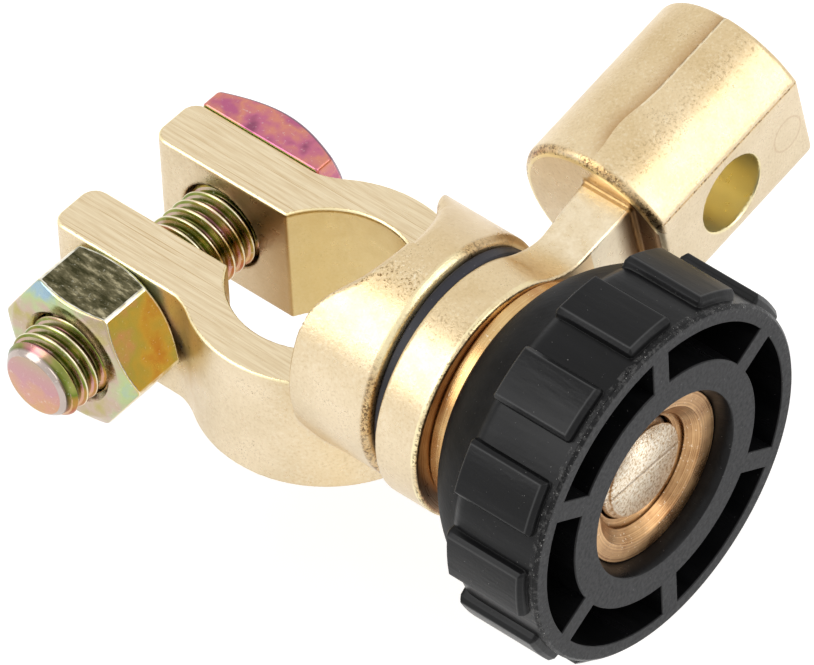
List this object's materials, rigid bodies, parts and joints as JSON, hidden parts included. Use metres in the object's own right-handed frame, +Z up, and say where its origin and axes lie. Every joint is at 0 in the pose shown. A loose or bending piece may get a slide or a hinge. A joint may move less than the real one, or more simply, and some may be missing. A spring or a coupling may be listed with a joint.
{
  "type": "battery terminal disconnect switch",
  "caption": "Quick-disconnect switch for a car battery: a split clamp for the battery's post, an arm with a dummy post for the cable, and a screw knob that joins the two.",
  "frame": {"origin": "centre of the battery-post bore on the clamp's lower face", "axes": "+Z up along the battery's post, +X out along the stud to the knob, +Y along the clamp bolt towards its square head, which is also the side the arm points to"},
  "size_m": [0.0601, 0.0571, 0.0348],
  "materials": {
    "casting": "satin",
    "arm_casting": "satin",
    "stud_metal": "satin",
    "washer_brass": "polished",
    "insert_brass": "satin",
    "bush_plastic": "matte",
    "knob_plastic": "satin",
    "bolt_steel": "zinc plated",
    "nut_steel": "zinc plated"
  },
  "bodies": {
    "clamp": {"clamp_body": "casting", "stud": "stud_metal", "insulating_bush": "bush_plastic"},
    "arm": {"terminal_arm": "arm_casting"},
    "washer": {"contact_washer": "washer_brass"},
    "knob": {"knob": "knob_plastic", "knob_insert": "insert_brass"},
    "bolt": {"clamp_bolt": "bolt_steel"},
    "nut": {"clamp_nut": "nut_steel"}
  },
  "joints": [
    {"name": "arm_swivel", "type": "hinge", "parent": "clamp", "child": "arm", "pos_m": [0, 0, 0.0125], "axis": [1, 0, 0], "continuous": true},
    {"name": "knob_travel", "type": "slide", "parent": "clamp", "child": "washer", "axis": [1, 0, 0], "range_m": [0, 0.0046]},
    {"name": "knob_turn", "type": "hinge", "parent": "washer", "child": "knob", "pos_m": [0, 0, 0.0125], "axis": [1, 0, 0], "range_deg": [0, 1080]},
    {"name": "bolt_travel", "type": "slide", "parent": "clamp", "child": "bolt", "axis": [0, 1, 0], "range_m": [0, 0.0038]},
    {"name": "nut_turn", "type": "hinge", "parent": "clamp", "child": "nut", "pos_m": [-0.01495, 0, 0.00625], "axis": [0, -1, 0], "range_deg": [0, 1080]}
  ],
  "couplings": [
    {"joint": "knob_travel", "follows": "knob_turn", "m_per_rad": 0.00023873},
    {"joint": "bolt_travel", "follows": "nut_turn", "m_per_rad": 0.00019894}
  ]
}
